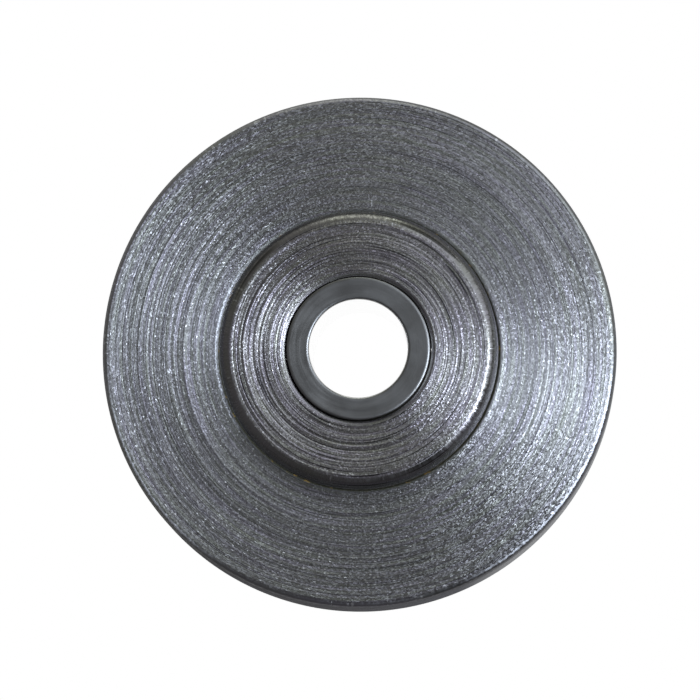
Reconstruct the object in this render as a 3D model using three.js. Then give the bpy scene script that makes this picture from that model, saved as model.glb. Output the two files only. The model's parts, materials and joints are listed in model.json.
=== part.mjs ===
// Steel seam roller wheel: a flat steel disc pressed onto a two-piece, turned ball bearing.
//
// Millimetres, +Z up. The wheel spins about Y, and the origin is its centre. The face that is
// usually seen looks towards -Y. Every turned piece is drawn as a closed (radius, y) outline and
// revolved about Y.

import * as THREE from "three";

const INCH = 25.4;

// Driving dimensions
const WHEEL_DIAMETER = 2 * INCH;
const DISC_WIDTH = INCH / 4;
const BEARING_WIDTH = (7 / 16) * INCH; // over the inner race, which the fork clamps
const BEARING_DIAMETER = 27.5;
const AXLE_BORE_DIAMETER = 9.65; // clears a 3/8 inch axle bolt
const INNER_RACE_DIAMETER = 14.1;
const BALL_DIAMETER = (7 / 32) * INCH;
const BALL_COUNT = 10; // a full row: there is no room for another, so it needs no cage
const PITCH_RADIUS = 9.14; // of the circle through the ball centres

// Edges
const RIM_ROUND = 0.7;
const DISC_BORE_CHAMFER = 0.4;
const SHOULDER_ROUND = 1.35; // on the outer race, where it stands out of the disc
const RACE_LIP_BEVEL = 0.45; // bevels are measured along the radius
const RACE_LIP_DROP = 0.2; // and drops along the axle
const INNER_RACE_BEVEL = 0.3;
const INNER_RACE_DROP = 0.12;
const AXLE_BORE_CHAMFER = 0.3;

// Clearances
const PRESS_FIT_GAP = 0.03; // radial, drawn between the disc and the race pressed into it
const SPLIT_GAP = 0.05; // from each half of the outer race to the middle plane
const LIP_GAP = 0.15; // radial, the dark hairline between the two races
const INNER_RACE_STAND_OUT = 0.28; // so that the fork touches only the inner race
const GROOVE_CLEARANCE = 0.12; // round each ball, in both tracks

// The room inside the outer race, either side of its ball track
const CAVITY_RADIUS = 10.4;
const CAVITY_HALF_WIDTH = 3.4;

// Mesh fineness
const TURNS = 72; // facets round the axis
const ARC_DIVISIONS = 2; // three.js draws twice as many segments on each arc
const BALL_SEGMENTS = 18;
const BALL_RINGS = 12;

const BALL_RADIUS = BALL_DIAMETER / 2;
const TRACK_RADIUS = BALL_RADIUS + GROOVE_CLEARANCE;
const RIM_RADIUS = WHEEL_DIAMETER / 2;
const BEARING_RADIUS = BEARING_DIAMETER / 2;
const INNER_RACE_RADIUS = INNER_RACE_DIAMETER / 2;
const BORE_RADIUS = AXLE_BORE_DIAMETER / 2;

// The angle, seen from the ball's centre, at which its track meets a cylinder about Y.
function trackEdgeAngle(cylinderRadius) {
  const inward = cylinderRadius - PITCH_RADIUS;
  const halfChord = Math.sqrt(TRACK_RADIUS ** 2 - inward ** 2);
  return Math.atan2(halfChord, inward);
}

// Revolves a closed path about Y.
function turned(path) {
  path.closePath();
  return new THREE.LatheGeometry(path.getPoints(ARC_DIVISIONS), TURNS);
}

// The wheel itself: flat faces, a straight tread, rounded rims and a chamfered bore.
function discGeometry() {
  const half = DISC_WIDTH / 2;
  const bore = BEARING_RADIUS + PRESS_FIT_GAP;
  const round = RIM_RADIUS - RIM_ROUND;
  const outline = new THREE.Path();
  outline.moveTo(bore, DISC_BORE_CHAMFER - half);
  outline.lineTo(bore + DISC_BORE_CHAMFER, -half);
  outline.lineTo(round, -half);
  outline.absarc(round, RIM_ROUND - half, RIM_ROUND, -Math.PI / 2, 0, false);
  outline.absarc(round, half - RIM_ROUND, RIM_ROUND, 0, Math.PI / 2, false);
  outline.lineTo(bore + DISC_BORE_CHAMFER, half);
  outline.lineTo(bore, half - DISC_BORE_CHAMFER);
  return turned(outline);
}

// Half of the outer race, from the middle plane out to its face on the +Y side. Its lip closes
// the bearing down to a hairline round the inner race, so that it is its own dust shield.
function outerRaceHalfGeometry() {
  const face = BEARING_WIDTH / 2 - INNER_RACE_STAND_OUT;
  const lip = INNER_RACE_RADIUS + LIP_GAP;
  const shoulder = BEARING_RADIUS - SHOULDER_ROUND;
  const splitAngle = Math.asin(SPLIT_GAP / TRACK_RADIUS);
  const outline = new THREE.Path();
  outline.absarc(PITCH_RADIUS, 0, TRACK_RADIUS, trackEdgeAngle(CAVITY_RADIUS), splitAngle, true);
  outline.lineTo(BEARING_RADIUS, SPLIT_GAP);
  outline.absarc(shoulder, face - SHOULDER_ROUND, SHOULDER_ROUND, 0, Math.PI / 2, false);
  outline.lineTo(lip + RACE_LIP_BEVEL, face);
  outline.lineTo(lip, face - RACE_LIP_DROP);
  outline.lineTo(lip, CAVITY_HALF_WIDTH);
  outline.lineTo(CAVITY_RADIUS, CAVITY_HALF_WIDTH);
  return turned(outline);
}

// The sleeve that the axle bolt clamps, with the inner ball track round its middle.
function innerRaceGeometry() {
  const half = BEARING_WIDTH / 2;
  const trackEdge = trackEdgeAngle(INNER_RACE_RADIUS);
  const outline = new THREE.Path();
  outline.moveTo(BORE_RADIUS, AXLE_BORE_CHAMFER - half);
  outline.lineTo(BORE_RADIUS + AXLE_BORE_CHAMFER, -half);
  outline.lineTo(INNER_RACE_RADIUS - INNER_RACE_BEVEL, -half);
  outline.lineTo(INNER_RACE_RADIUS, INNER_RACE_DROP - half);
  outline.absarc(PITCH_RADIUS, 0, TRACK_RADIUS, -trackEdge, trackEdge, true);
  outline.lineTo(INNER_RACE_RADIUS, half - INNER_RACE_DROP);
  outline.lineTo(INNER_RACE_RADIUS - INNER_RACE_BEVEL, half);
  outline.lineTo(BORE_RADIUS + AXLE_BORE_CHAMFER, half);
  outline.lineTo(BORE_RADIUS, half - AXLE_BORE_CHAMFER);
  return turned(outline);
}

// The centre of one ball. The first is half a step round the wheel from +X.
function ballCentre(index) {
  const angle = ((index + 0.5) / BALL_COUNT) * 2 * Math.PI;
  return new THREE.Vector3(PITCH_RADIUS * Math.cos(angle), 0, PITCH_RADIUS * Math.sin(angle));
}

function steel(color, roughness) {
  return new THREE.MeshStandardMaterial({ color, roughness, metalness: 1 });
}

const discSteel = steel(0x5d5e63, 0.5);
const raceSteel = steel(0x55545a, 0.32);
const sleeveSteel = steel(0x4b4d50, 0.45);
const ballSteel = steel(0xb9babd, 0.08);

function piece(name, geometry, material) {
  const mesh = new THREE.Mesh(geometry, material);
  mesh.name = name;
  return mesh;
}

// The wheel and the race halves pressed into it turn as one.
function buildRoller() {
  const raceHalf = outerRaceHalfGeometry();
  const front = piece("outer_race_front", raceHalf, raceSteel);
  const back = piece("outer_race_back", raceHalf, raceSteel);
  front.rotation.x = Math.PI;
  const roller = new THREE.Group();
  roller.add(piece("roller_disc", discGeometry(), discSteel), front, back);
  return roller;
}

function buildBallRow() {
  const row = new THREE.Group();
  for (let index = 0; index < BALL_COUNT; index++) {
    const sphere = new THREE.SphereGeometry(BALL_RADIUS, BALL_SEGMENTS, BALL_RINGS);
    const ball = piece(`ball_${index + 1}`, sphere, ballSteel);
    ball.position.copy(ballCentre(index));
    row.add(ball);
  }
  return row;
}

const seamRoller = new THREE.Group();
seamRoller.add(piece("inner_race", innerRaceGeometry(), sleeveSteel));
seamRoller.add(buildBallRow());
seamRoller.add(buildRoller());

export default seamRoller;
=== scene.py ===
"""Looks for a steel seam roller wheel on a turned ball bearing.

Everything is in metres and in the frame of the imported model: the wheel spins about Y, its centre is
the origin, and the face that is usually seen looks towards -Y. Each turned piece is a closed outline
of (radius, y) points, revolved about Y, whose flat faces carry the grooves that the tool cut.
"""

import json
import math
from typing import NamedTuple

import bmesh
import bpy
import numpy as np
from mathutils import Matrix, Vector


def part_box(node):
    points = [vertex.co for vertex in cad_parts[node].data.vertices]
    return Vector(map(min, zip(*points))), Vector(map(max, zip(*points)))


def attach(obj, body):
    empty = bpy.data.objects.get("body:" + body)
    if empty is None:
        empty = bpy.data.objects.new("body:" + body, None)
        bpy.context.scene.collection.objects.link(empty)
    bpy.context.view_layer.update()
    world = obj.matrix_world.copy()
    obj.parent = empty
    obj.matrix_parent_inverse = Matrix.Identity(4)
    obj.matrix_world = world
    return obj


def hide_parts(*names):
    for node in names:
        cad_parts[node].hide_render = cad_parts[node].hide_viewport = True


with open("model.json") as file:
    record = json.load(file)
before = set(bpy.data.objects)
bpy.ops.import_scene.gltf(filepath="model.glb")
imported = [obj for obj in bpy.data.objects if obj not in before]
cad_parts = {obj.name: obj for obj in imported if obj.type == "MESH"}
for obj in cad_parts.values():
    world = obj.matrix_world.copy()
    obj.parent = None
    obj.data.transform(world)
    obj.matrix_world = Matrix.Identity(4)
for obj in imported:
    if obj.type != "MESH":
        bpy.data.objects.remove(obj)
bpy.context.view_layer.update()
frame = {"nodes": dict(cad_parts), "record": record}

MM = 0.001

# ---------------------------------------------------------------- sizes, from the frame


def axle_distances(node):
    """The nearest and farthest that a CAD node comes to the axle line."""
    points = [v.co for v in frame["nodes"][node].data.vertices]
    distances = [math.hypot(p.x, p.z) for p in points]
    return min(distances), max(distances)


DISC_BORE, RIM_RADIUS = axle_distances("roller_disc")
RACE_LIP, RACE_RADIUS = axle_distances("outer_race_back")
AXLE_BORE, INNER_RACE_RADIUS = axle_distances("inner_race")
DISC_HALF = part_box("roller_disc")[1].y
SPLIT_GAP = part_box("outer_race_back")[0].y
RACE_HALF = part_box("outer_race_back")[1].y
INNER_RACE_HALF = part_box("inner_race")[1].y
BALL_RADIUS = (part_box("ball_1")[1].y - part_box("ball_1")[0].y) / 2
BALL_CENTRE = (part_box("ball_1")[0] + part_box("ball_1")[1]) / 2
PITCH_RADIUS = math.hypot(BALL_CENTRE.x, BALL_CENTRE.z)
BALL_NODES = frame["record"]["behaviour"]["bodies"]["ball_row"]

# The same as in the CAD model
RIM_ROUND = 0.7 * MM
DISC_BORE_CHAMFER = 0.4 * MM
SHOULDER_ROUND = 1.35 * MM
RACE_LIP_BEVEL = 0.45 * MM
RACE_LIP_DROP = 0.2 * MM
INNER_RACE_BEVEL = 0.3 * MM
INNER_RACE_DROP = 0.12 * MM
AXLE_BORE_CHAMFER = 0.3 * MM
GROOVE_CLEARANCE = 0.12 * MM
TRACK_RADIUS = BALL_RADIUS + GROOVE_CLEARANCE
CAVITY_RADIUS = 10.4 * MM
CAVITY_HALF_WIDTH = 3.4 * MM
DISC_SEAT = DISC_BORE + DISC_BORE_CHAMFER  # where the disc's face meets the edge of its bore

# Closer than in the CAD model, so that no light comes through it
PRESS_FIT_GAP = 0.002 * MM

# The grooves in each piece's faces: their depth, and the spacing of the points that draw them
DISC_RELIEF = (0.010 * MM, 0.065 * MM)
RACE_RELIEF = (0.045 * MM, 0.035 * MM)
INNER_RACE_RELIEF = (0.003 * MM, 0.04 * MM)
RELIEF_TAPER = 0.45 * MM  # over which the grooves fade out towards the edges of a face

# Mesh fineness
SEGMENTS = 256  # round the axle
ARC_STEPS = 8
BALL_CUTS = 15
SAME_POINT = 1e-4 * MM
WALL_INSET = 0.1 * MM
SHARP_EDGE = math.radians(32)


# ---------------------------------------------------------------- turned surfaces


class Outline:
    """A closed outline of (radius, y, depth of the relief cut there) points."""

    def __init__(self):
        self.points = []

    def to(self, radius, y):
        self.points.append((radius, y, 0.0))

    def wall(self, radius, start, end):
        """A straight wall between two values of y, with a point near each end to keep it flat."""
        inset = math.copysign(WALL_INSET, end - start)
        for y in (start, start + inset, end - inset, end):
            self.to(radius, y)

    def arc(self, radius, y, size, start, end):
        """An arc about (radius, y). The angles run from +radius towards +y."""
        for step in range(ARC_STEPS + 1):
            angle = start + (end - start) * step / ARC_STEPS
            self.to(radius + size * math.cos(angle), y + size * math.sin(angle))

    def bevel(self, start, end):
        """A quarter of an ellipse between a point on a flat face and one on the wall beside it."""
        on_wall, on_face = sorted((start, end), key=lambda point: abs(point[1]))
        centre = (on_face[0], on_wall[1])
        for step in range(ARC_STEPS + 1):
            angle = math.pi / 2 * step / ARC_STEPS
            near, far = math.cos(angle), math.sin(angle)
            self.to(
                centre[0] + (start[0] - centre[0]) * near + (end[0] - centre[0]) * far,
                centre[1] + (start[1] - centre[1]) * near + (end[1] - centre[1]) * far,
            )

    def face(self, start, end, y, relief):
        """A flat face from one radius to another, cut with grooves that go into the metal."""
        depth, spacing = relief
        count = max(2, round(abs(end - start) / spacing))
        inward = -math.copysign(1.0, y)
        for radius in np.linspace(start, end, count + 1):
            share = min(abs(radius - start), abs(radius - end)) / RELIEF_TAPER
            self.points.append((radius, y, inward * depth * min(1.0, share)))

    def distinct(self):
        """The points, less each one that repeats the point before it."""
        before = [self.points[-1]] + self.points[:-1]
        pairs = zip(before, self.points)
        return [point for last, point in pairs if math.dist(last[:2], point[:2]) > SAME_POINT]


def smooth_noise(rng, count, length):
    """Random values from 0 to 1 along a line, smoothed over the given number of samples."""
    kernel = np.hanning(max(3, int(length) | 1))
    raw = rng.random(count + len(kernel))
    values = np.convolve(raw, kernel / kernel.sum(), "same")[:count]
    return (values - values.min()) / (np.ptp(values) + 1e-9)


def ring_depths(rng, radii, feed, torn_share):
    """How deep each ring is: a scallop for each turn of the work, and torn chips over it."""
    count = len(radii)
    wander = 3.0 * smooth_noise(rng, count, 31)
    scallop = np.abs(np.sin(math.pi * np.asarray(radii) / feed + wander))
    torn = smooth_noise(rng, count, 3) ** 2
    slow = smooth_noise(rng, count, 15)
    return ((1 - torn_share) * scallop + torn_share * torn) * (0.4 + 0.6 * slow)


def groove_relief(rng, radii, feed, torn_share):
    """Tool marks as a grid of depths from 0 to 1, by point of the outline and angle.

    feed is how far the tool moved in each turn, and torn_share how far torn chips hide that. Each
    ring fades in and out as it goes round.
    """
    deepest = 1.6
    count = len(radii)
    angle = np.linspace(0, 2 * math.pi, SEGMENTS, endpoint=False)[None, :]
    ring = ring_depths(rng, radii, feed, torn_share)
    fade = np.ones((count, SEGMENTS))
    for harmonic in (1, 2, 3, 5, 8):
        strength = 0.55 / math.sqrt(harmonic) * smooth_noise(rng, count, 7)[:, None]
        phase = 2 * math.pi * smooth_noise(rng, count, 9)[:, None]
        fade += strength * np.cos(harmonic * angle + phase)
    return np.clip(ring[:, None] * fade, 0, deepest) / deepest


def revolve(name, outline, feed, torn_share, seed):
    """Makes a closed mesh object by turning an outline about Y."""
    points = np.array(outline.distinct())
    relief = groove_relief(np.random.default_rng(seed), points[:, 0], feed, torn_share)
    angle = np.linspace(0, 2 * math.pi, SEGMENTS, endpoint=False)
    x = points[:, 0:1] * np.cos(angle)
    z = points[:, 0:1] * np.sin(angle)
    y = points[:, 1:2] + points[:, 2:3] * relief
    vertices = np.stack([x, y, z], -1).reshape(-1, 3)
    count = len(points)
    faces = []
    for i in range(count):
        here, there = i * SEGMENTS, (i + 1) % count * SEGMENTS
        for j in range(SEGMENTS):
            k = (j + 1) % SEGMENTS
            faces.append((here + j, here + k, there + k, there + j))
    mesh = bpy.data.meshes.new(name)
    mesh.from_pydata(vertices.tolist(), [], faces)
    return finish_mesh(name, mesh)


def finish_mesh(name, mesh):
    """Turns every face outwards, shades the mesh smooth up to its sharp edges and links it."""
    work = bmesh.new()
    work.from_mesh(mesh)
    bmesh.ops.recalc_face_normals(work, faces=work.faces)
    work.to_mesh(mesh)
    work.free()
    mesh.shade_smooth()
    mesh.set_sharp_from_angle(angle=SHARP_EDGE)
    piece = bpy.data.objects.new(name, mesh)
    bpy.context.scene.collection.objects.link(piece)
    return piece


def track_edge(cylinder_radius):
    """The angle, seen from the ball's centre, at which its track meets a cylinder about Y."""
    inward = cylinder_radius - PITCH_RADIUS
    return math.atan2(math.sqrt(TRACK_RADIUS**2 - inward**2), inward)


# ---------------------------------------------------------------- the pieces


def make_disc():
    """The wheel. The edge of its bore is a chamfer in the CAD model, and is rounded here."""
    outline = Outline()
    edge = RIM_RADIUS - RIM_ROUND
    bore = RACE_RADIUS + PRESS_FIT_GAP
    outline.bevel((bore, DISC_BORE_CHAMFER - DISC_HALF), (DISC_SEAT, -DISC_HALF))
    outline.face(DISC_SEAT, edge, -DISC_HALF, DISC_RELIEF)
    outline.arc(edge, RIM_ROUND - DISC_HALF, RIM_ROUND, -math.pi / 2, 0)
    outline.wall(RIM_RADIUS, RIM_ROUND - DISC_HALF, DISC_HALF - RIM_ROUND)
    outline.arc(edge, DISC_HALF - RIM_ROUND, RIM_ROUND, 0, math.pi / 2)
    outline.face(edge, DISC_SEAT, DISC_HALF, DISC_RELIEF)
    outline.bevel((DISC_SEAT, DISC_HALF), (bore, DISC_HALF - DISC_BORE_CHAMFER))
    return revolve("wheel_disc", outline, feed=0.22 * MM, torn_share=0.6, seed=11)


def make_outer_race(name, side, seed):
    """Half of the outer race; side is -1 for the front and +1 for the back."""
    outline = Outline()
    shoulder = RACE_RADIUS - SHOULDER_ROUND
    split = math.asin(SPLIT_GAP / TRACK_RADIUS)
    outline.arc(PITCH_RADIUS, 0, TRACK_RADIUS, track_edge(CAVITY_RADIUS), split)
    outline.wall(RACE_RADIUS, SPLIT_GAP, RACE_HALF - SHOULDER_ROUND)
    outline.arc(shoulder, RACE_HALF - SHOULDER_ROUND, SHOULDER_ROUND, 0, math.pi / 2)
    outline.face(shoulder, RACE_LIP + RACE_LIP_BEVEL, RACE_HALF, RACE_RELIEF)
    outline.to(RACE_LIP, RACE_HALF - RACE_LIP_DROP)
    outline.to(RACE_LIP, CAVITY_HALF_WIDTH)
    outline.to(CAVITY_RADIUS, CAVITY_HALF_WIDTH)
    outline.points = [(r, side * y, side * depth) for r, y, depth in outline.points]
    return revolve(name, outline, feed=0.40 * MM, torn_share=0.2, seed=seed)


def make_inner_race():
    outline = Outline()
    half = INNER_RACE_HALF
    inside, outside = AXLE_BORE + AXLE_BORE_CHAMFER, INNER_RACE_RADIUS - INNER_RACE_BEVEL
    track = track_edge(INNER_RACE_RADIUS)
    outline.bevel((AXLE_BORE, AXLE_BORE_CHAMFER - half), (inside, -half))
    outline.face(inside, outside, -half, INNER_RACE_RELIEF)
    outline.bevel((outside, -half), (INNER_RACE_RADIUS, INNER_RACE_DROP - half))
    outline.arc(PITCH_RADIUS, 0, TRACK_RADIUS, -track, track - 2 * math.pi)
    outline.bevel((INNER_RACE_RADIUS, half - INNER_RACE_DROP), (outside, half))
    outline.face(outside, inside, half, INNER_RACE_RELIEF)
    outline.bevel((inside, half), (AXLE_BORE, half - AXLE_BORE_CHAMFER))
    outline.wall(AXLE_BORE, half - AXLE_BORE_CHAMFER, AXLE_BORE_CHAMFER - half)
    return revolve("inner_race_ring", outline, feed=0.2 * MM, torn_share=0.6, seed=31)


def make_ball(node):
    """A ball made from a cube of quads pushed out to a sphere, so that it has no poles."""
    low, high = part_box(node)
    centre = (low + high) / 2
    centre.y = 0
    centre = centre.normalized() * PITCH_RADIUS
    work = bmesh.new()
    bmesh.ops.create_cube(work, size=2)
    bmesh.ops.subdivide_edges(work, edges=work.edges, cuts=BALL_CUTS, use_grid_fill=True)
    for vertex in work.verts:
        vertex.co = centre + vertex.co.normalized() * BALL_RADIUS
    mesh = bpy.data.meshes.new(node + "_polished")
    work.to_mesh(mesh)
    work.free()
    return finish_mesh(node + "_polished", mesh)


# ---------------------------------------------------------------- building materials


class Nodes:
    """Short calls for building a material's node tree."""

    def __init__(self, name):
        self.material = bpy.data.materials.new(name)
        self.material.use_nodes = True
        self.tree = self.material.node_tree
        self.shader = self.tree.nodes["Principled BSDF"]

    def add(self, kind, **settings):
        node = self.tree.nodes.new(kind)
        for key, value in settings.items():
            setattr(node, key, value)
        return node

    def join(self, source, target):
        self.tree.links.new(source, target)

    def feed(self, socket, value):
        """Links a socket to another, or sets it to a plain value."""
        if isinstance(value, bpy.types.NodeSocket):
            self.join(value, socket)
        else:
            socket.default_value = value

    def math(self, operation, a, b=0.0):
        node = self.add("ShaderNodeMath", operation=operation)
        self.feed(node.inputs[0], a)
        self.feed(node.inputs[1], b)
        return node.outputs[0]

    def total(self, *values):
        result = values[0]
        for value in values[1:]:
            result = self.math("ADD", result, value)
        return result

    def product(self, a, b):
        return self.math("MULTIPLY", a, b)

    def vector(self, operation, a, b=(0, 0, 0)):
        node = self.add("ShaderNodeVectorMath", operation=operation)
        self.feed(node.inputs[0], a)
        self.feed(node.inputs[1], b)
        gives_value = operation in ("LENGTH", "DOT_PRODUCT")
        return node.outputs["Value" if gives_value else "Vector"]

    def scaled(self, vector, factor):
        node = self.add("ShaderNodeVectorMath", operation="SCALE")
        self.join(vector, node.inputs[0])
        self.feed(node.inputs["Scale"], factor)
        return node.outputs["Vector"]

    def xyz(self, vector):
        node = self.add("ShaderNodeSeparateXYZ")
        self.join(vector, node.inputs[0])
        return node.outputs

    def place(self):
        """Where the shaded point is, in the piece's own frame."""
        return self.add("ShaderNodeTexCoord").outputs["Object"]

    def flat(self, place):
        """The part of a place that is square to the axle."""
        return self.vector("MULTIPLY", place, (1, 0, 1))

    def radius(self, place):
        return self.vector("LENGTH", self.flat(place))

    def from_middle(self, place):
        """How far a place is from the wheel's middle plane."""
        return self.math("ABSOLUTE", self.xyz(place)["Y"])

    def noise(self, vector, scale=1.0, detail=2.0):
        node = self.add("ShaderNodeTexNoise")
        self.join(vector, node.inputs["Vector"])
        node.inputs["Scale"].default_value = scale
        node.inputs["Detail"].default_value = detail
        return node.outputs["Fac"]

    def cells(self, vector):
        """Three random values from 0 to 1, each the same all over one small facet."""
        facets = self.add("ShaderNodeTexVoronoi")
        self.join(vector, facets.inputs["Vector"])
        facets.inputs["Scale"].default_value = 1.0
        split = self.add("ShaderNodeSeparateColor")
        self.join(facets.outputs["Color"], split.inputs[0])
        return split.outputs

    def span(self, value, low, high, start=0.3, end=0.7):
        """Maps a value onto a range from low to high. Noise stays between about 0.3 and 0.7."""
        node = self.add("ShaderNodeMapRange")
        self.join(value, node.inputs["Value"])
        node.inputs["From Min"].default_value = start
        node.inputs["From Max"].default_value = end
        node.inputs["To Min"].default_value = low
        node.inputs["To Max"].default_value = high
        return node.outputs["Result"]

    def between(self, share, low, high):
        """Goes from low to high as a share goes from 0 to 1."""
        return self.span(share, low, high, 0, 1)

    def rise(self, value, start, end):
        """0 up to start, and 1 from end on."""
        return self.span(value, 0.0, 1.0, start, end)

    def fall(self, value, start, end):
        """1 up to start, and 0 from end on."""
        return self.span(value, 1.0, 0.0, start, end)

    def ragged(self, place, grain, amount):
        """A distance that wanders up to amount either way, over lengths of about grain."""
        return self.span(self.noise(place, 1 / grain, 3), -amount, amount)

    def blend(self, share, first, second):
        node = self.add("ShaderNodeMix", data_type="RGBA")
        self.feed(node.inputs[0], share)
        for socket, colour in ((node.inputs[6], first), (node.inputs[7], second)):
            plain = not isinstance(colour, bpy.types.NodeSocket)
            self.feed(socket, (*colour, 1.0) if plain else colour)
        return node.outputs[2]

    def bump(self, height, distance):
        node = self.add("ShaderNodeBump")
        self.join(height, node.inputs["Height"])
        node.inputs["Distance"].default_value = distance
        return node.outputs["Normal"]


RINGS_PER_WIDTH = 1.7  # how much closer rings lie along the axle than along the radius


def ring_coordinates(nodes, place, width, length):
    """Coordinates that run across the tool marks in steps of width, and along them in radians."""
    flat = nodes.flat(place)
    along = nodes.scaled(nodes.vector("NORMALIZE", flat), 1 / length)
    axial = nodes.product(nodes.xyz(place)["Y"], RINGS_PER_WIDTH)
    across = nodes.math("SUBTRACT", nodes.vector("LENGTH", flat), axial)
    lift = nodes.add("ShaderNodeCombineXYZ")
    nodes.join(nodes.product(across, 1 / width), lift.inputs["Y"])
    return nodes.vector("ADD", along, lift.outputs[0])


def tangent_round_axle(nodes):
    return nodes.add("ShaderNodeTangent", direction_type="RADIAL", axis="Y").outputs[0]


def leaning_normal(nodes, tangent, across, along):
    """The surface normal, leaning by one slope across the tool marks and another along them."""
    normal = nodes.add("ShaderNodeNewGeometry").outputs["Normal"]
    side = nodes.vector("CROSS_PRODUCT", normal, tangent)
    lean = nodes.vector("ADD", nodes.scaled(side, across), nodes.scaled(tangent, along))
    return nodes.vector("NORMALIZE", nodes.vector("ADD", normal, lean))


# ---------------------------------------------------------------- dirt and wear, painted shade and painted highlights

# near-black film inside the bearing: a greasy film, and painted shade in the gap that leads into it
GREASE_AND_SHADE = (0.020, 0.017, 0.012)
# dark oily dirt for the groove by the bearing, which is also painted shade there
DIRT_AND_SHADE = (0.065, 0.062, 0.043)
RUST = (0.30, 0.20, 0.06)
OLD_OIL = (0.090, 0.088, 0.068)
# bright steel for a real nick and for the painted highlights on the rim and the edge of the bore
NICK_AND_HIGHLIGHT_STEEL = (0.80, 0.82, 0.88)

# the middle of the dirt and painted shade in the groove by the bearing
GROOVE_DIRT_SHADE_RADIUS = RACE_RADIUS - 0.02 * MM
GROOVE_DIRT_SHADE_HEIGHT_WEIGHT = 0.3  # a height counts for less than a radius, so the dirt and painted shade creep up the bearing

# Two stretches of the rim with a painted highlight: which way each one's middle lies, and the cosines
# of the angles from there at which the painted highlight starts and is full.
HIGHLIGHT_STRETCH_LEFT = ((-0.87, 0, -0.50), 0.90, 0.98)
HIGHLIGHT_STRETCH_RIGHT = ((0.83, 0, -0.56), 0.84, 0.95)
# the radius of the painted highlight line on the rim
HIGHLIGHT_RIM_RADIUS = RIM_RADIUS - 0.40 * MM
HIGHLIGHT_SIDE_EDGE = -11.0 * MM  # the painted highlight on the edge of the disc's bore lies only to the left of this
HIGHLIGHT_SIDE_FULL = -13.5 * MM

NICK_X = 1.27 * MM
NICK_Z = 14.75 * MM
NICK_HALF_WIDTH = 0.05 * MM
NICK_HALF_LENGTH = 0.3 * MM


def groove_dirt_and_shade(nodes, place):
    """From 0 to 1, where old oil and dirt lie in the groove between the disc and the bearing, with
    painted shade there too.
    """
    offset = nodes.add("ShaderNodeCombineXYZ")
    above = nodes.math("SUBTRACT", nodes.from_middle(place), DISC_HALF)
    nodes.join(nodes.math("SUBTRACT", nodes.radius(place), GROOVE_DIRT_SHADE_RADIUS), offset.inputs["X"])
    nodes.join(nodes.product(above, GROOVE_DIRT_SHADE_HEIGHT_WEIGHT), offset.inputs["Y"])
    distance = nodes.vector("LENGTH", offset.outputs[0])
    uneven = nodes.math("ADD", distance, nodes.ragged(place, grain=0.5 * MM, amount=0.06 * MM))
    return nodes.fall(uneven, 0.15 * MM, 0.24 * MM)


def painted_edge_highlight(nodes, place):
    """From 0 to 1, a painted highlight along the edge of the disc's bore, on its left side only."""
    ragged = nodes.ragged(place, grain=0.25 * MM, amount=0.09 * MM)
    offset = nodes.math("ADD", nodes.math("SUBTRACT", nodes.radius(place), DISC_SEAT), ragged)
    line = nodes.fall(nodes.math("ABSOLUTE", offset), 0.03 * MM, 0.10 * MM)
    side = nodes.fall(nodes.xyz(place)["X"], HIGHLIGHT_SIDE_FULL, HIGHLIGHT_SIDE_EDGE)
    return nodes.product(line, side)


def stretch(nodes, place, middle, start, full):
    """From 0 to 1, within one stretch of the way round the wheel."""
    direction = nodes.vector("NORMALIZE", nodes.flat(place))
    return nodes.rise(nodes.vector("DOT_PRODUCT", direction, middle), start, full)


def painted_rim_highlight(nodes, place):
    """From 0 to 1, a thin painted highlight along two stretches of the rim."""
    ragged = nodes.ragged(place, grain=0.3 * MM, amount=0.07 * MM)
    offset = nodes.math("ADD", nodes.math("SUBTRACT", nodes.radius(place), HIGHLIGHT_RIM_RADIUS), ragged)
    line = nodes.fall(nodes.math("ABSOLUTE", offset), 0.05 * MM, 0.15 * MM)
    left = stretch(nodes, place, *HIGHLIGHT_STRETCH_LEFT)
    right = stretch(nodes, place, *HIGHLIGHT_STRETCH_RIGHT)
    return nodes.product(line, nodes.math("MAXIMUM", left, right))


def nick(nodes, place):
    """1 on one short dent that something sharp left in the front of the disc, else 0."""
    part = nodes.xyz(place)
    aside = nodes.math("ABSOLUTE", nodes.math("SUBTRACT", part["X"], NICK_X))
    along = nodes.math("ABSOLUTE", nodes.math("SUBTRACT", part["Z"], NICK_Z))
    narrow = nodes.math("LESS_THAN", aside, NICK_HALF_WIDTH)
    short = nodes.math("LESS_THAN", along, NICK_HALF_LENGTH)
    in_front = nodes.math("LESS_THAN", part["Y"], 0.0)
    return nodes.product(narrow, nodes.product(short, in_front))


def greased_and_shaded(nodes, place, limit):
    """1 inside the bearing, nearer than limit to its middle and out of sight, where a near-black
    greasy film is also painted shade; 0 elsewhere.
    """
    radius = nodes.radius(place)
    deep = nodes.math("LESS_THAN", nodes.from_middle(place), limit)
    outside_bore = nodes.math("GREATER_THAN", radius, AXLE_BORE + 0.5 * MM)
    inside_race = nodes.math("LESS_THAN", radius, (CAVITY_RADIUS + RACE_RADIUS) / 2)
    return nodes.product(deep, nodes.product(outside_bore, inside_race))


def dirt_and_shade_colour(nodes, place):
    """Old oily dirt with spots of rust in it, dark enough to serve also as painted shade in the
    groove.
    """
    rust = nodes.rise(nodes.noise(place, 1 / (0.7 * MM), 2), 0.63, 0.69)
    return nodes.blend(rust, DIRT_AND_SHADE, RUST)


# ---------------------------------------------------------------- turned steel

GLINT = (0.92, 0.93, 0.96)
SCRATCH = (0.03, 0.03, 0.035)
# the tread's darker steel and its dulled glancing tint are painted shade
TREAD_SHADE_STEEL = (0.26, 0.26, 0.265)
TREAD_SHADE_GLANCE = (0.12, 0.115, 0.13)
FACET_WIDTH = 0.09 * MM
SCRATCH_WIDTH = 0.13 * MM
TINT_WIDTH = 0.32 * MM
BAND_WIDTH = 2.4 * MM


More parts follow.
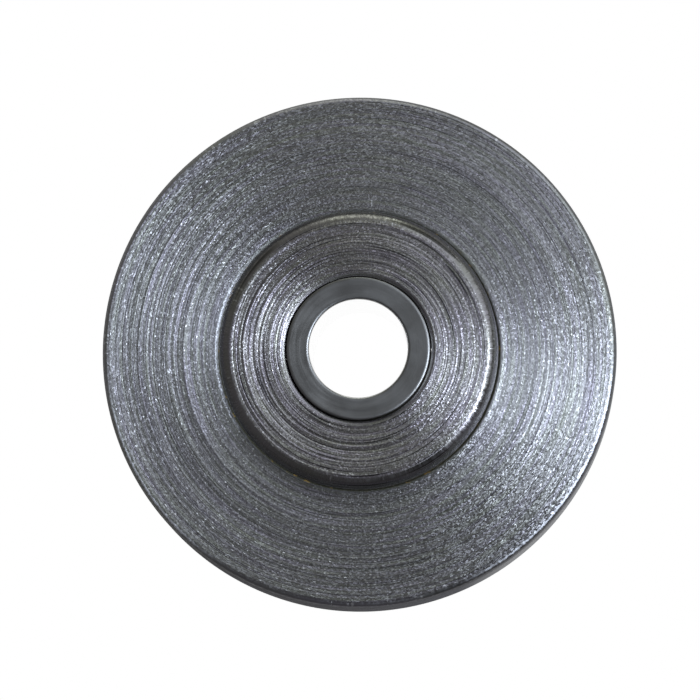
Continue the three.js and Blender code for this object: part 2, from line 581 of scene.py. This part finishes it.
class TurnedFinish(NamedTuple):
    """What sets one turned piece apart from another."""

    face: float  # from the middle plane to the flat faces; the edges beside them are cut finer
    dark: tuple
    light: tuple
    roughness: float
    anisotropy: float
    ring_width: float
    ring_lean: float
    facet_lean_across: float
    facet_lean_along: float
    facet_length: float  # in radians round the axle
    scratches: float  # how dark they are
    edge_roughness: float
    edge_oil: float  # how much of the rounded edges old oil covers


class Marks(NamedTuple):
    """Sockets that several parts of a turned steel share, each a mask or a pattern from 0 to 1."""

    rings: object
    facets: object  # three patterns, by index
    face: object
    tread: object
    # where a painted highlight runs along the rim
    rim_highlight: object
    # dirt and painted shade in the groove by the bearing
    dirt_and_shade: object
    # inside the bearing, a near-black film that is also painted shade
    grease_and_shade: object


def turning_marks(nodes, place, finish):
    top = finish.face
    ring_places = ring_coordinates(nodes, place, finish.ring_width, length=1.8)
    facet_places = ring_coordinates(nodes, place, FACET_WIDTH, finish.facet_length)
    return Marks(
        rings=nodes.noise(ring_places, detail=2),
        facets=nodes.cells(facet_places),
        face=nodes.rise(nodes.from_middle(place), top - 0.07 * MM, top - 0.04 * MM),
        tread=nodes.rise(nodes.radius(place), RIM_RADIUS - 0.16 * MM, RIM_RADIUS - 0.06 * MM),
        rim_highlight=painted_rim_highlight(nodes, place),
        dirt_and_shade=groove_dirt_and_shade(nodes, place),
        grease_and_shade=greased_and_shaded(nodes, place, limit=top - 0.5 * MM),
    )


def face_colour(nodes, place, finish, marks):
    """Light and dark rings and facets, olive and violet tints, bright glints and dark scratches."""
    scratches = nodes.noise(ring_coordinates(nodes, place, SCRATCH_WIDTH, length=0.9), detail=1)
    bands = nodes.noise(ring_coordinates(nodes, place, BAND_WIDTH, length=1.2), detail=2)
    tints = nodes.noise(ring_coordinates(nodes, place, TINT_WIDTH, length=0.5), detail=2)
    tone = nodes.total(
        nodes.span(marks.rings, 0, 0.45),
        nodes.span(bands, 0, 0.3),
        nodes.between(marks.facets[2], 0, 0.35),
    )
    red, green, blue = finish.light
    olive = (0.98 * red, 1.02 * green, 0.89 * blue)
    violet = (1.02 * red, 0.96 * green, 1.13 * blue)
    clean = nodes.blend(tone, finish.dark, nodes.blend(nodes.span(tints, 0, 1), olive, violet))
    glint = nodes.span(marks.facets[0], 0.0, 0.5, 0.975, 0.990)
    bright = nodes.blend(glint, clean, GLINT)
    line = nodes.rise(scratches, 0.60, 0.67)
    return nodes.blend(nodes.product(line, finish.scratches), bright, SCRATCH)


def turned_colour(nodes, place, finish, marks):
    """The face's colour, then oil on the edges, painted highlights and a nick, the tread's painted
    shade, dirt and painted shade in the groove, and the greasy film inside.
    """
    face = face_colour(nodes, place, finish, marks)
    # painted highlights on the bore's edge and the rim, with the real nick, in one bright steel
    edge_and_rim_highlights = nodes.math("MAXIMUM", painted_edge_highlight(nodes, place), marks.rim_highlight)
    highlights_and_nick = nodes.math("MAXIMUM", edge_and_rim_highlights, nick(nodes, place))
    oiled = nodes.blend(nodes.between(marks.face, finish.edge_oil, 0.0), face, OLD_OIL)
    highlighted_and_nicked = nodes.blend(highlights_and_nick, oiled, NICK_AND_HIGHLIGHT_STEEL)
    # the tread painted darker, as shade
    tread_shaded = nodes.blend(marks.tread, highlighted_and_nicked, TREAD_SHADE_STEEL)
    # dirt and painted shade in the groove between the disc and the bearing
    dirt_and_groove_shade = nodes.blend(marks.dirt_and_shade, tread_shaded, dirt_and_shade_colour(nodes, place))
    return nodes.blend(marks.grease_and_shade, dirt_and_groove_shade, GREASE_AND_SHADE)


def turned_roughness(nodes, finish, marks):
    return nodes.total(
        nodes.between(marks.face, finish.edge_roughness, finish.roughness),
        nodes.product(marks.tread, 0.2),
        nodes.product(marks.rim_highlight, 0.15),
        nodes.span(marks.rings, -0.05, 0.05),
        nodes.between(marks.facets[2], 0.08, -0.08),
        nodes.product(marks.dirt_and_shade, 0.2),
    )


def turned_normal(nodes, tangent, finish, marks):
    """The normal leans from ring to ring and from facet to facet, and less so on the edges."""
    amount = nodes.between(marks.face, 0.3, 1.0)
    lean_across, lean_along = finish.facet_lean_across, finish.facet_lean_along
    across = nodes.total(
        nodes.span(marks.rings, -finish.ring_lean, finish.ring_lean),
        nodes.between(marks.facets[0], -lean_across, lean_across),
    )
    along = nodes.between(marks.facets[1], -lean_along, lean_along)
    across, along = nodes.product(across, amount), nodes.product(along, amount)
    return leaning_normal(nodes, tangent, across, along)


def turned_glance(nodes, place, marks):
    """The tint of glancing reflections, dulled on the tread as painted shade except along the
    right-hand stretch of painted highlight.
    """
    off_highlight = nodes.math("SUBTRACT", 1.0, stretch(nodes, place, *HIGHLIGHT_STRETCH_RIGHT))
    return nodes.blend(nodes.product(marks.tread, off_highlight), (1.0, 1.0, 1.0), TREAD_SHADE_GLANCE)


def turned_steel(name, finish):
    """Turned steel: rings from the tool, torn facets between them, scratches, dirt and wear, with
    painted shade and painted highlights.
    """
    nodes = Nodes(name)
    place = nodes.place()
    marks = turning_marks(nodes, place, finish)
    tangent = tangent_round_axle(nodes)
    metal = nodes.between(marks.dirt_and_shade, 1.0, 0.35)
    shader = nodes.shader.inputs
    nodes.join(turned_colour(nodes, place, finish, marks), shader["Base Color"])
    nodes.join(nodes.math("SUBTRACT", metal, marks.grease_and_shade), shader["Metallic"])
    nodes.join(turned_roughness(nodes, finish, marks), shader["Roughness"])
    nodes.join(turned_glance(nodes, place, marks), shader["Specular Tint"])
    nodes.join(nodes.product(marks.face, finish.anisotropy), shader["Anisotropic"])
    shader["Anisotropic Rotation"].default_value = 0.25
    nodes.join(tangent, shader["Tangent"])
    nodes.join(turned_normal(nodes, tangent, finish, marks), shader["Normal"])
    return nodes.material


# ---------------------------------------------------------------- the other steels

GROUND_DARK = (0.170, 0.171, 0.173)
GROUND_LIGHT = (0.268, 0.270, 0.272)
# the bore wall painted near-white, so that it shows as white as the backdrop
BORE_PAINTED_WHITE = (0.97, 0.97, 0.97)
# the darker smear on the balls is a greasy film and painted shade
SMEAR_AND_SHADE = (0.09, 0.085, 0.07)
POLISHED = (0.46, 0.46, 0.45)


def dished_normal(nodes, place, rings):
    """The normal of the inner race, whose faces dish inwards by a hair."""
    grain = nodes.noise(place, 1 / (0.12 * MM), 1)
    side = nodes.math("SIGN", nodes.xyz(place)["Y"])
    across = nodes.total(nodes.span(rings, 0.0, 0.05), nodes.span(grain, -0.02, 0.02))
    start, full = INNER_RACE_HALF - 0.04 * MM, INNER_RACE_HALF - 0.01 * MM
    away = nodes.span(nodes.from_middle(place), 0.0, -1.0, start, full)
    inward = nodes.product(nodes.product(across, side), away)
    return leaning_normal(nodes, tangent_round_axle(nodes), inward, 0.0)


def satin_steel():
    """The ground inner race: grey, dished by a hair, and painted near-white inside its bore, as white
    as the backdrop.
    """
    nodes = Nodes("inner_race_satin_steel")
    place = nodes.place()
    rings = nodes.noise(ring_coordinates(nodes, place, 0.35 * MM, length=0.8), detail=3)
    clouds = nodes.noise(place, 1 / (2.5 * MM), 3)
    # the bore wall, which is painted near-white
    bore = nodes.fall(nodes.radius(place), AXLE_BORE + 0.08 * MM, AXLE_BORE + 0.14 * MM)
    # the inside of the race, near-black: a greasy film and painted shade
    grease_and_shade = greased_and_shaded(nodes, place, limit=INNER_RACE_HALF - 0.35 * MM)
    tone = nodes.total(nodes.span(rings, 0, 0.6), nodes.span(clouds, 0, 0.4))
    clean = nodes.blend(bore, nodes.blend(tone, GROUND_DARK, GROUND_LIGHT), BORE_PAINTED_WHITE)
    smoother = nodes.product(bore, 0.25)
    rough = nodes.math("SUBTRACT", nodes.span(clouds, 0.33, 0.40), smoother)
    shader = nodes.shader.inputs
    nodes.join(nodes.blend(grease_and_shade, clean, GREASE_AND_SHADE), shader["Base Color"])
    nodes.join(nodes.math("SUBTRACT", 1.0, grease_and_shade), shader["Metallic"])
    nodes.join(rough, shader["Roughness"])
    nodes.join(dished_normal(nodes, place, rings), shader["Normal"])
    return nodes.material


def polished_steel():
    """Ball steel under a smeared greasy film, made darker as painted shade, with the haze of fine
    running marks.
    """
    nodes = Nodes("ball_polish")
    place = nodes.place()
    # a greasy smear that also darkens the balls as painted shade
    smear_and_shade = nodes.noise(place, scale=1 / (1.5 * MM), detail=4)
    haze = nodes.noise(place, scale=1 / (0.2 * MM), detail=2)
    shader = nodes.shader.inputs
    nodes.join(nodes.blend(smear_and_shade, SMEAR_AND_SHADE, POLISHED), shader["Base Color"])
    shader["Metallic"].default_value = 1.0
    nodes.join(nodes.span(smear_and_shade, 0.40, 0.16), shader["Roughness"])
    nodes.join(nodes.bump(haze, 0.0008 * MM), shader["Normal"])
    return nodes.material


# ---------------------------------------------------------------- building

DISC_FINISH = TurnedFinish(
    face=DISC_HALF,
    dark=(0.21, 0.21, 0.216),
    light=(0.38, 0.382, 0.393),
    roughness=0.45,
    anisotropy=0.78,
    ring_width=0.12 * MM,
    ring_lean=0.24,
    facet_lean_across=0.20,
    facet_lean_along=0.12,
    facet_length=0.0085,
    scratches=0.5,
    edge_roughness=0.40,
    edge_oil=0.1,
)
RACE_FINISH = TurnedFinish(
    face=RACE_HALF,
    dark=(0.155, 0.148, 0.151),
    light=(0.46, 0.452, 0.466),
    roughness=0.38,
    anisotropy=0.78,
    ring_width=0.16 * MM,
    ring_lean=0.32,
    facet_lean_across=0.20,
    facet_lean_along=0.11,
    facet_length=0.0110,
    scratches=0.9,
    edge_roughness=0.32,
    edge_oil=0.35,
)


def dress(piece, material, body, slot, *stands_for):
    piece.data.materials.append(material)
    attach(piece, body)
    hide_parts(*stands_for)


def build_object():
    disc_steel = turned_steel("disc_turned_steel", DISC_FINISH)
    race_steel = turned_steel("race_turned_steel", RACE_FINISH)
    ring_steel = satin_steel()
    ball_steel = polished_steel()
    dress(make_disc(), disc_steel, "roller", "disc_steel", "roller_disc")
    front = make_outer_race("front_race_half", -1, seed=21)
    dress(front, race_steel, "roller", "race_steel", "outer_race_front")
    back = make_outer_race("back_race_half", 1, seed=22)
    dress(back, race_steel, "roller", "race_steel", "outer_race_back")
    for half in (front, back):
        half.visible_shadow = False  # a choice of lighting: the hub throws no shadow on the disc
    dress(make_inner_race(), ring_steel, "inner_race", "sleeve_steel", "inner_race")
    for node in BALL_NODES:
        dress(make_ball(node), ball_steel, "ball_row", "ball_steel", node)


# ---------------------------------------------------------------- the studio

VIEW_AZIMUTH = math.radians(2)
VIEW_ELEVATION = math.radians(-6.5)
VIEW_DISTANCE = 500 * MM
SENSOR_WIDTH = 36

# In shares of the picture's width: how wide the wheel is, and how far it is from the middle
WHEEL_SHARE = 0.7310
WHEEL_RIGHT = 0.0144
WHEEL_DOWN = 0.0065

FLOOR_SIZE = 3.0
FLOOR_PAPER = (0.82, 0.82, 0.81, 1)

ROOM_BELOW = (0.072, 0.069, 0.073, 1)
ROOM_LEVEL = (0.140, 0.138, 0.139, 1)
ROOM_ABOVE = (0.30, 0.305, 0.265, 1)
BACKDROP_EDGE, BACKDROP_FULL = 0.10, 0.90  # cosines from +Y between which the backdrop whitens


def make_floor():
    """A pale floor under the wheel. The camera is below it, so it is see-through from below."""
    size = FLOOR_SIZE
    corners = [(-size, -size), (size, -size), (size, size), (-size, size)]
    mesh = bpy.data.meshes.new("floor")
    mesh.from_pydata([(x, y, -RIM_RADIUS) for x, y in corners], [], [(0, 1, 2, 3)])
    floor = bpy.data.objects.new("floor", mesh)
    bpy.context.scene.collection.objects.link(floor)
    nodes = Nodes("floor_paper")
    shader = nodes.shader
    shader.inputs["Base Color"].default_value = FLOOR_PAPER
    shader.inputs["Roughness"].default_value = 0.8
    see_through = nodes.add("ShaderNodeBsdfTransparent")
    choice = nodes.add("ShaderNodeMixShader")
    nodes.join(nodes.add("ShaderNodeNewGeometry").outputs["Backfacing"], choice.inputs[0])
    nodes.join(shader.outputs[0], choice.inputs[1])
    nodes.join(see_through.outputs[0], choice.inputs[2])
    nodes.join(choice.outputs[0], nodes.tree.nodes["Material Output"].inputs["Surface"])
    mesh.materials.append(nodes.material)
    floor.visible_glossy = False
    floor.visible_shadow = False


def make_lamp(name, position, width, height, power, colour):
    """A square-on lamp that shines at the middle of the wheel."""
    data = bpy.data.lights.new(name, "AREA")
    data.shape = "RECTANGLE"
    data.size = width
    data.size_y = height
    data.energy = power
    data.color = colour
    lamp = bpy.data.objects.new(name, data)
    lamp.location = position
    lamp.rotation_mode = "QUATERNION"
    lamp.rotation_quaternion = (-Vector(position)).to_track_quat("-Z", "Y")
    lamp.visible_camera = False
    bpy.context.scene.collection.objects.link(lamp)


def make_lamps():
    make_lamp(
        "key_right",
        position=(0.124, -0.150, -0.016),
        width=0.09,
        height=0.09,
        power=0.31,
        colour=(0.79, 0.88, 1.0),
    )
    make_lamp(
        "fill_upper_right",
        position=(0.18, -0.19, 0.10),
        width=0.34,
        height=0.34,
        power=0.41,
        colour=(0.84, 0.90, 0.99),
    )
    make_lamp(
        "overhead",
        position=(0.0, -0.10, 0.50),
        width=0.30,
        height=0.20,
        power=0.3,
        colour=(0.95, 1.0, 0.90),
    )


def room_colour(tree, height_socket):
    """The dim room's colour, from below to overhead."""
    height = tree.nodes.new("ShaderNodeMapRange")
    height.inputs["From Min"].default_value = -1.0
    tree.links.new(height_socket, height.inputs["Value"])
    ramp = tree.nodes.new("ShaderNodeValToRGB")
    ramp.color_ramp.elements[0].color = ROOM_BELOW
    ramp.color_ramp.elements[1].color = ROOM_ABOVE
    ramp.color_ramp.elements.new(0.5).color = ROOM_LEVEL
    tree.links.new(height.outputs["Result"], ramp.inputs[0])
    return ramp.outputs[0]


def white_share(tree, y_socket):
    """How white the world is: wholly to the camera, and else more so towards +Y."""
    behind = tree.nodes.new("ShaderNodeMapRange")
    behind.inputs["From Min"].default_value = BACKDROP_EDGE
    behind.inputs["From Max"].default_value = BACKDROP_FULL
    tree.links.new(y_socket, behind.inputs["Value"])
    path = tree.nodes.new("ShaderNodeLightPath")
    seen = tree.nodes.new("ShaderNodeMath")
    seen.operation = "MAXIMUM"
    tree.links.new(path.outputs["Is Camera Ray"], seen.inputs[0])
    tree.links.new(behind.outputs[0], seen.inputs[1])
    return seen.outputs[0]


def make_world():
    """White to the camera and behind the wheel; elsewhere a dim room, lighter overhead."""
    world = bpy.data.worlds.new("studio")
    bpy.context.scene.world = world
    world.use_nodes = True
    tree = world.node_tree
    tree.nodes.clear()
    place = tree.nodes.new("ShaderNodeTexCoord")
    split = tree.nodes.new("ShaderNodeSeparateXYZ")
    tree.links.new(place.outputs["Generated"], split.inputs[0])
    room = tree.nodes.new("ShaderNodeBackground")
    tree.links.new(room_colour(tree, split.outputs["Z"]), room.inputs["Color"])
    white = tree.nodes.new("ShaderNodeBackground")
    white.inputs["Color"].default_value = (1, 1, 1, 1)
    choice = tree.nodes.new("ShaderNodeMixShader")
    tree.links.new(white_share(tree, split.outputs["Y"]), choice.inputs[0])
    tree.links.new(room.outputs[0], choice.inputs[1])
    tree.links.new(white.outputs[0], choice.inputs[2])
    output = tree.nodes.new("ShaderNodeOutputWorld")
    tree.links.new(choice.outputs[0], output.inputs["Surface"])


def make_camera():
    """A camera that sees the wheel from a little to its right and below, with its own crop."""
    back = Vector((
        math.sin(VIEW_AZIMUTH) * math.cos(VIEW_ELEVATION),
        -math.cos(VIEW_AZIMUTH) * math.cos(VIEW_ELEVATION),
        math.sin(VIEW_ELEVATION),
    ))
    turn = (-back).to_track_quat("-Z", "Y")
    picture = 2 * RIM_RADIUS / WHEEL_SHARE
    aim = turn @ Vector((-WHEEL_RIGHT * picture, WHEEL_DOWN * picture, 0))
    data = bpy.data.cameras.new("camera")
    data.sensor_width = SENSOR_WIDTH
    data.lens = data.sensor_width * VIEW_DISTANCE / picture
    data.clip_start = 0.01
    camera = bpy.data.objects.new("camera", data)
    camera.rotation_mode = "QUATERNION"
    camera.rotation_quaternion = turn
    camera.location = aim + back * VIEW_DISTANCE
    bpy.context.scene.collection.objects.link(camera)
    bpy.context.scene.camera = camera


def build_studio():
    make_floor()
    make_world()
    make_lamps()
    make_camera()
    settings = bpy.context.scene.view_settings
    settings.view_transform = "Standard"
    settings.look = "None"


build_object()
build_studio()
